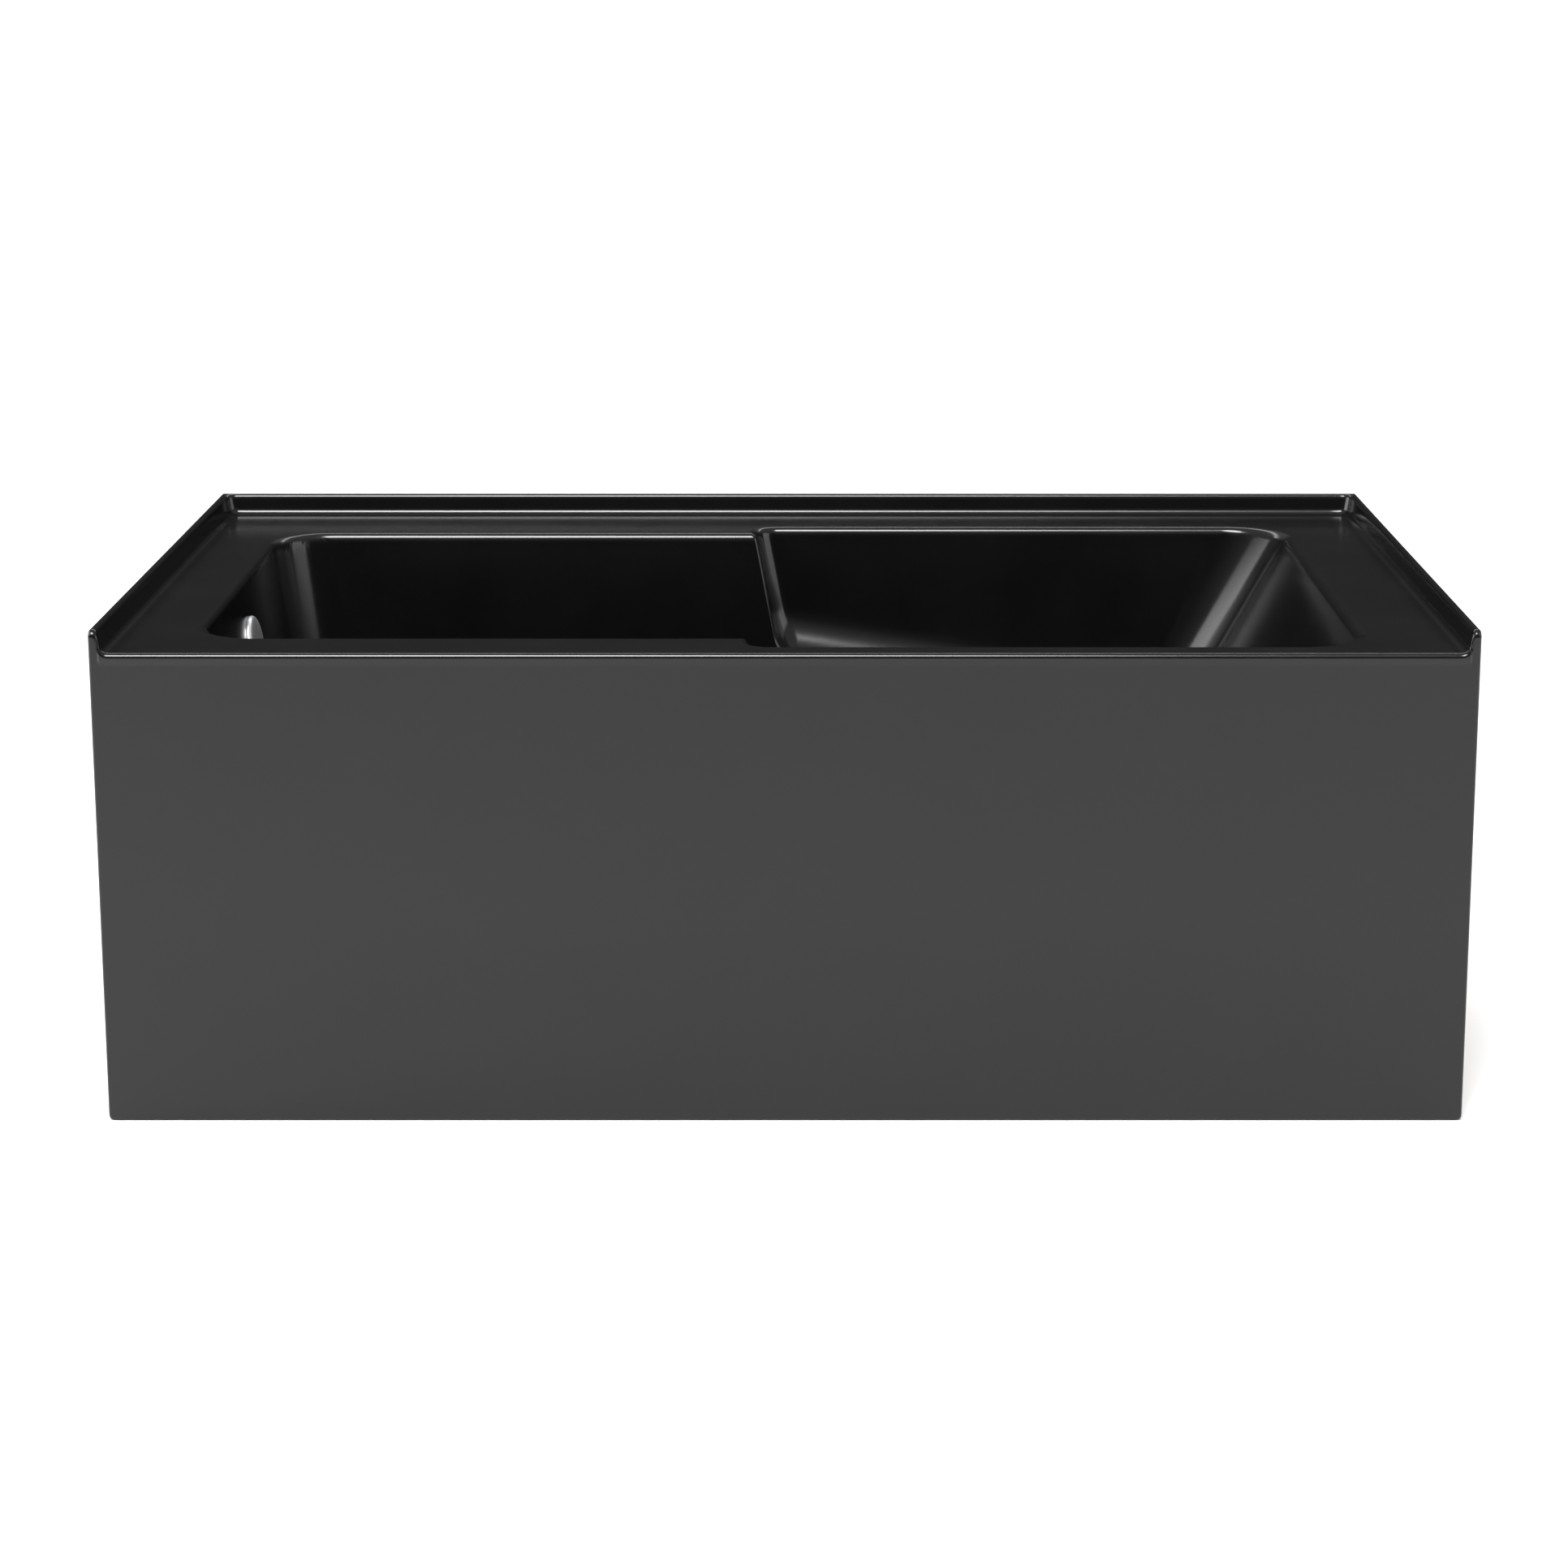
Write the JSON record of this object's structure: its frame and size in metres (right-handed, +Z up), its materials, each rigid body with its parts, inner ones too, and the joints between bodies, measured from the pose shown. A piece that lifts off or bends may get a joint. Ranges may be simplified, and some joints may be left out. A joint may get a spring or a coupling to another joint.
{
  "type": "alcove bathtub",
  "caption": "Alcove bathtub with a flat front apron, tile flange on three sides, recessed armrest ledges, left-hand waste and overflow, and adjustable feet.",
  "frame": {"origin": "bottom centre of the bounding box, on the floor", "axes": "+X along the length towards the sloping backrest end, -Y out of the apron, +Z up"},
  "size_m": [1.524, 0.813, 0.566],
  "materials": {
    "acrylic": "black, high gloss",
    "fibreglass": "sprayed chopped strand laminate, unpainted",
    "board": "raw particle board",
    "timber": "planed softwood",
    "galvanised": "galvanised",
    "zinc": "zinc plated",
    "rubber": "black rubber",
    "foot_plastic": "moulded nylon",
    "pipe": "white waste pipe",
    "fitting": "white moulded fittings",
    "brass": "turned brass",
    "chrome": "polished chrome plate"
  },
  "bodies": {
    "root": {"acrylic_shell": "acrylic", "fibreglass_backing": "fibreglass", "base_board": "board", "apron_top_batten": "timber", "apron_bottom_batten": "timber", "back_batten": "timber", "left_end_batten": "timber", "right_end_batten": "timber", "apron_rib_1": "timber", "apron_rib_2": "timber", "apron_rib_3": "timber", "apron_rib_4": "timber", "cross_rail_left": "galvanised", "apron_bracket_left": "galvanised", "cross_rail_middle": "galvanised", "apron_bracket_middle": "galvanised", "cross_rail_right": "galvanised", "apron_bracket_right": "galvanised", "rail_screws": "zinc", "bracket_screws": "zinc", "rail_weld_nuts": "zinc", "foot_lock_nuts": "zinc", "drain_gasket": "rubber", "overflow_gasket": "rubber", "drain_flange": "chrome", "overflow_cover": "chrome", "overflow_screw": "chrome", "stopper_post": "brass", "waste_tube": "pipe", "overflow_tube": "pipe", "tailpiece": "pipe", "drain_shoe": "fitting", "waste_tee": "fitting", "overflow_elbow": "fitting", "waste_slip_nut_shoe": "fitting", "waste_slip_nut_tee": "fitting", "overflow_slip_nut": "fitting", "tailpiece_slip_nut": "fitting"},
    "stopper": {"stopper_cap": "chrome", "stopper_seal": "rubber"},
    "foot_1_pad": {"foot_pad_1": "foot_plastic"},
    "foot_1_stud": {"foot_stud_1": "zinc"},
    "foot_2_pad": {"foot_pad_2": "foot_plastic"},
    "foot_2_stud": {"foot_stud_2": "zinc"},
    "foot_3_pad": {"foot_pad_3": "foot_plastic"},
    "foot_3_stud": {"foot_stud_3": "zinc"},
    "foot_4_pad": {"foot_pad_4": "foot_plastic"},
    "foot_4_stud": {"foot_stud_4": "zinc"},
    "foot_5_pad": {"foot_pad_5": "foot_plastic"},
    "foot_5_stud": {"foot_stud_5": "zinc"},
    "foot_6_pad": {"foot_pad_6": "foot_plastic"},
    "foot_6_stud": {"foot_stud_6": "zinc"}
  },
  "joints": [
    {"name": "stopper_lift", "type": "slide", "parent": "root", "child": "stopper", "axis": [0, 0, 1], "range_m": [0, 0.008]},
    {"name": "foot_1_height", "type": "slide", "parent": "root", "child": "foot_1_pad", "axis": [0, 0, 1], "range_m": [-0.008, 0.01]},
    {"name": "foot_1_turn", "type": "hinge", "parent": "foot_1_pad", "child": "foot_1_stud", "pos_m": [-0.41, -0.3, 0.04], "axis": [0, 0, 1], "range_deg": [-1650, 2060]},
    {"name": "foot_2_height", "type": "slide", "parent": "root", "child": "foot_2_pad", "axis": [0, 0, 1], "range_m": [-0.008, 0.01]},
    {"name": "foot_2_turn", "type": "hinge", "parent": "foot_2_pad", "child": "foot_2_stud", "pos_m": [-0.41, 0.25, 0.04], "axis": [0, 0, 1], "range_deg": [-1650, 2060]},
    {"name": "foot_3_height", "type": "slide", "parent": "root", "child": "foot_3_pad", "axis": [0, 0, 1], "range_m": [-0.008, 0.01]},
    {"name": "foot_3_turn", "type": "hinge", "parent": "foot_3_pad", "child": "foot_3_stud", "pos_m": [-0.03, -0.3, 0.04], "axis": [0, 0, 1], "range_deg": [-1650, 2060]},
    {"name": "foot_4_height", "type": "slide", "parent": "root", "child": "foot_4_pad", "axis": [0, 0, 1], "range_m": [-0.008, 0.01]},
    {"name": "foot_4_turn", "type": "hinge", "parent": "foot_4_pad", "child": "foot_4_stud", "pos_m": [-0.03, 0.25, 0.04], "axis": [0, 0, 1], "range_deg": [-1650, 2060]},
    {"name": "foot_5_height", "type": "slide", "parent": "root", "child": "foot_5_pad", "axis": [0, 0, 1], "range_m": [-0.008, 0.01]},
    {"name": "foot_5_turn", "type": "hinge", "parent": "foot_5_pad", "child": "foot_5_stud", "pos_m": [0.32, -0.3, 0.04], "axis": [0, 0, 1], "range_deg": [-1650, 2060]},
    {"name": "foot_6_height", "type": "slide", "parent": "root", "child": "foot_6_pad", "axis": [0, 0, 1], "range_m": [-0.008, 0.01]},
    {"name": "foot_6_turn", "type": "hinge", "parent": "foot_6_pad", "child": "foot_6_stud", "pos_m": [0.32, 0.25, 0.04], "axis": [0, 0, 1], "range_deg": [-1650, 2060]}
  ],
  "couplings": [
    {"joint": "foot_1_turn", "follows": "foot_1_height", "rad_per_m": 3590.4},
    {"joint": "foot_2_turn", "follows": "foot_2_height", "rad_per_m": 3590.4},
    {"joint": "foot_3_turn", "follows": "foot_3_height", "rad_per_m": 3590.4},
    {"joint": "foot_4_turn", "follows": "foot_4_height", "rad_per_m": 3590.4},
    {"joint": "foot_5_turn", "follows": "foot_5_height", "rad_per_m": 3590.4},
    {"joint": "foot_6_turn", "follows": "foot_6_height", "rad_per_m": 3590.4}
  ]
}
